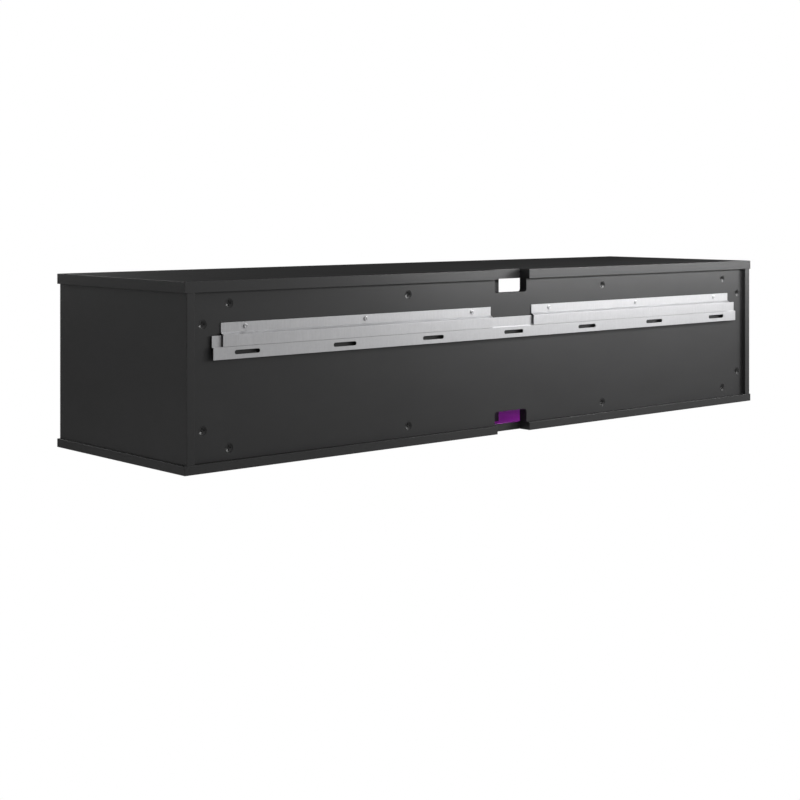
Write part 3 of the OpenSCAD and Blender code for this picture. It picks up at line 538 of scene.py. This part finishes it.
def soften(obj, width):
    """Joins the CAD mesh's split corners and flat faces, then rounds its edges, as real ones are."""
    weld = obj.modifiers.new("weld", "WELD")
    weld.merge_threshold = WELD_GAP
    flats = obj.modifiers.new("flats", "DECIMATE")
    flats.decimate_type = "DISSOLVE"
    flats.angle_limit = math.radians(FLAT_ANGLE)
    bevel = obj.modifiers.new("edges", "BEVEL")
    bevel.limit_method = "ANGLE"
    bevel.angle_limit = math.radians(EDGE_ANGLE)
    bevel.width = width
    bevel.segments = EDGE_SEGMENTS
    bevel.use_clamp_overlap = False
    bevel.harden_normals = True


def finish_cad_nodes(finishes):
    for name, obj in NODES.items():
        for slot in obj.material_slots:
            slot.material = finishes[slot.material.name]
        soften(obj, EDGE_WIDTHS.get(name, SMALL_EDGE))


# ---- pieces that stand for plain CAD solids ----


def add_piece(name, mesh, body, material):
    """Puts a mesh in the scene as a piece that rides on a body."""
    piece = bpy.data.objects.new(name, mesh)
    mesh.materials.append(material)
    bpy.context.collection.objects.link(piece)
    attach(piece, body)
    return piece


STONE_COLUMNS = 48
STONE_ROWS = 5
STONE_POINTS = 14
STONE_LIFT = 0.03 * MM  # above the bed
STONE_SIZE = (0.38, 0.49)  # least and greatest radius, as parts of a column's width
CHIP_SIZE = (0.16, 0.25)  # the same for the small stones in the gaps
STONE_SQUASH = 0.72  # the least that a stone's half-axis may be, as a part of its radius
STONE_EDGE = 0.2 * MM


def add_stone(bm, draw, x, y, floor, radius):
    """A broken lump of glass: the hull of random points, turned at random and set on the bed."""
    shape = Vector([radius * draw.uniform(STONE_SQUASH, 1.0) for _ in range(3)])
    turn = Euler([draw.uniform(0, 2 * math.pi) for _ in range(3)]).to_matrix()
    corners = []
    for _ in range(STONE_POINTS):
        way = Vector([draw.gauss(0, 1) for _ in range(3)]).normalized()
        corners.append(turn @ (way * shape))
    drop = min(corner.z for corner in corners)
    verts = [bm.verts.new(corner + Vector((x, y, floor - drop))) for corner in corners]
    hull = bmesh.ops.convex_hull(bm, input=verts)
    unused = set(hull["geom_interior"]) | set(hull["geom_unused"])
    bmesh.ops.delete(bm, geom=[v for v in unused if isinstance(v, bmesh.types.BMVert)], context="VERTS")


def add_crushed_glass(material):
    """Large stones where the CAD model has its crystals, and small ones in the gaps."""
    draw = random.Random(11)
    low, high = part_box("ember_crystals")
    pitch_x = (high.x - low.x) / STONE_COLUMNS
    pitch_y = (high.y - low.y) / STONE_ROWS
    floor = low.z + STONE_LIFT
    bm = bmesh.new()
    for column in range(STONE_COLUMNS):
        for row in range(STONE_ROWS):
            x = low.x + (column + 0.5) * pitch_x
            y = low.y + (row + 0.5) * pitch_y
            add_stone(bm, draw, x, y, floor, draw.uniform(*STONE_SIZE) * pitch_x)
            if column < STONE_COLUMNS - 1 and row < STONE_ROWS - 1:
                gap = x + pitch_x / 2, y + pitch_y / 2
                add_stone(bm, draw, *gap, floor, draw.uniform(*CHIP_SIZE) * pitch_x)
    mesh = bpy.data.meshes.new("crushed_glass_stones")
    bm.to_mesh(mesh)
    bm.free()
    stones = add_piece("crushed_glass_stones", mesh, CABINET, material)
    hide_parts("ember_crystals")
    bevel = stones.modifiers.new("chips", "BEVEL")
    bevel.width = STONE_EDGE
    bevel.segments = 1


LATHE_STEPS = 64


def lathe_mesh(name, axis_x, axis_z, profile):
    """Turns a closed (radius, y) outline round an axis along Y. It starts and ends on the axis."""
    bm = bmesh.new()
    rings = []
    for radius, y in profile[1:-1]:
        ring = []
        for step in range(LATHE_STEPS):
            angle = 2 * math.pi * step / LATHE_STEPS
            place = axis_x + radius * math.cos(angle), y, axis_z + radius * math.sin(angle)
            ring.append(bm.verts.new(place))
        rings.append(ring)
    front = bm.verts.new((axis_x, profile[0][1], axis_z))
    back = bm.verts.new((axis_x, profile[-1][1], axis_z))
    for step in range(LATHE_STEPS):
        after = (step + 1) % LATHE_STEPS
        bm.faces.new((front, rings[0][step], rings[0][after]))
        bm.faces.new((back, rings[-1][after], rings[-1][step]))
        for near, far in zip(rings, rings[1:]):
            bm.faces.new((near[step], far[step], far[after], near[after]))
    bmesh.ops.recalc_face_normals(bm, faces=bm.faces)
    mesh = bpy.data.meshes.new(name)
    bm.to_mesh(mesh)
    bm.free()
    mesh.shade_smooth()
    return mesh


def arc(radius, start, end, steps):
    """Points round part of a circle. The angles are in degrees from the first axis."""
    turns = [math.radians(start + (end - start) * i / steps) for i in range(steps + 1)]
    return [(radius * math.cos(turn), radius * math.sin(turn)) for turn in turns]


# The flame and wave symbols, in millimetres
FLAME_STEPS = 32
FLAME_FOOT = -2.1
FLAME_HEIGHT = 4.4
FLAME_BELLY = 1.45
FLAME_TAPER = 0.55  # how much of its width it has lost at the tip
FLAME_SWEEP = 0.12
WAVE_STEPS = 20
WAVE_HEIGHT = 3.8
WAVE_SWING = 0.35
WAVE_TURN = 3.2  # radians for each millimetre up


def flame_outline():
    """A teardrop with its tip swept to one side."""
    right = []
    for i in range(FLAME_STEPS + 1):
        part = i / FLAME_STEPS
        width = FLAME_BELLY * math.sin(math.pi * part) * (1 - FLAME_TAPER * part)
        right.append((width, FLAME_FOOT + FLAME_HEIGHT * part))
    left = [(-0.9 * u, v) for u, v in reversed(right[1:-1])]
    outline = [(u + FLAME_SWEEP * max(v, 0) ** 1.5, v) for u, v in right + left]
    return outline + outline[:1]


def heat_wave(middle):
    """A wavy upright line."""
    rises = [WAVE_HEIGHT * (i / WAVE_STEPS - 0.5) for i in range(WAVE_STEPS + 1)]
    return [(middle + WAVE_SWING * math.sin(WAVE_TURN * v), v) for v in rises]


# What is inlaid in each button: lines of (right, up) points, in millimetres round its centre
SYMBOLS = {
    "power_button": [arc(1.9, 125, 415, 32), [(0, 0.4), (0, 2.4)]],
    "flame_button": [flame_outline()],
    "heat_button": [heat_wave(-1.3), heat_wave(0), heat_wave(1.3)],
    "timer_button": [arc(2.1, 0, 360, 40), [(0, 1.3), (0, 0)], [(0, 0), (1.0, -0.5)]],
}
SYMBOL_LINE = 0.2 * MM  # half the width of a line
SYMBOL_DEPTH = 0.4  # how far its middle is below the face, as a part of its half width
SYMBOL_WELD = 0.001 * MM
DISH = 0.45 * MM  # depth of a button's face below its rim
# The curve from the face up to the rim: how far in from the side, and how far behind the front
DISH_CURVE = ((1.9 * MM, DISH), (1.35 * MM, DISH - 0.15 * MM), (1.05 * MM, 0.08 * MM))
RIM_ROUND = 0.7 * MM
RIM_START = 100  # in degrees, where the rim's round takes over from the curve
RIM_STEPS = 8
FLANGE_LIP = 1.2 * MM  # how far a button's flange stands out from its side
FLANGE_FRONT = 4.3 * MM  # behind the button's front
FLANGE_BACK = 5.3 * MM
CAP_SHARP = 50  # in degrees: the flange's corners stay sharp, and the dish and the rim are smooth


def cap_profile(front, back, flange_radius):
    """The (radius, y) outline of a button: dished face, rounded rim, side, flange and back."""
    side = flange_radius - FLANGE_LIP
    profile = [(0, front + DISH)]
    profile += [(side - inwards, front + depth) for inwards, depth in DISH_CURVE]
    centre = side - RIM_ROUND
    for across, up in arc(1, RIM_START, 0, RIM_STEPS):
        profile.append((centre + RIM_ROUND * across, front + RIM_ROUND * (1 - up)))
    profile += [(side, front + FLANGE_FRONT), (flange_radius, front + FLANGE_FRONT)]
    profile += [(flange_radius, front + FLANGE_BACK), (side, front + FLANGE_BACK)]
    return profile + [(side, back), (0, back)]


def symbol_mesh(name, strokes, x, y, z):
    """Round lines along these strokes, round a centre on a button's face."""
    curve = bpy.data.curves.new(name, "CURVE")
    curve.dimensions = "3D"
    curve.bevel_depth = SYMBOL_LINE
    curve.bevel_resolution = 2
    curve.use_fill_caps = True
    for stroke in strokes:
        closed = stroke[0] == stroke[-1]
        points = stroke[:-1] if closed else stroke
        spline = curve.splines.new("POLY")
        spline.points.add(len(points) - 1)
        for point, (u, v) in zip(spline.points, points):
            point.co = (x + u * MM, y, z + v * MM, 1)
        spline.use_cyclic_u = closed
    line = bpy.data.objects.new(name, curve)
    bpy.context.collection.objects.link(line)
    mesh = bpy.data.meshes.new_from_object(line)
    bpy.data.objects.remove(line)
    return mesh


def add_button(node, button_material, symbol_material):
    """A push button with a dished face, a rounded rim and an inlaid symbol."""
    low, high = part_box(node)
    x, z = (low.x + high.x) / 2, (low.z + high.z) / 2
    mesh = lathe_mesh(node + "_cap", x, z, cap_profile(low.y, high.y, (high.x - low.x) / 2))
    cap = add_piece(node + "_cap", mesh, node, button_material)
    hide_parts(node)
    mesh.set_sharp_from_angle(angle=math.radians(CAP_SHARP))

    sunk_y = low.y + DISH + SYMBOL_LINE * SYMBOL_DEPTH
    lines = symbol_mesh(node + "_line", SYMBOLS[node], x, sunk_y, z)
    symbol = add_piece(node + "_symbol", lines, node, symbol_material)
    weld = symbol.modifiers.new("weld", "WELD")
    weld.merge_threshold = SYMBOL_WELD


make_camera()
make_world()
make_floor()
make_lamps()
finishes = {slot: make().material for slot, make in FINISHES.items()}
finish_cad_nodes(finishes)
add_crushed_glass(finishes["crushed_glass"])
for button in SYMBOLS:
    add_button(button, finishes["button_plastic"], finishes["nylon"])
bpy.context.scene.view_settings.view_transform = "Standard"
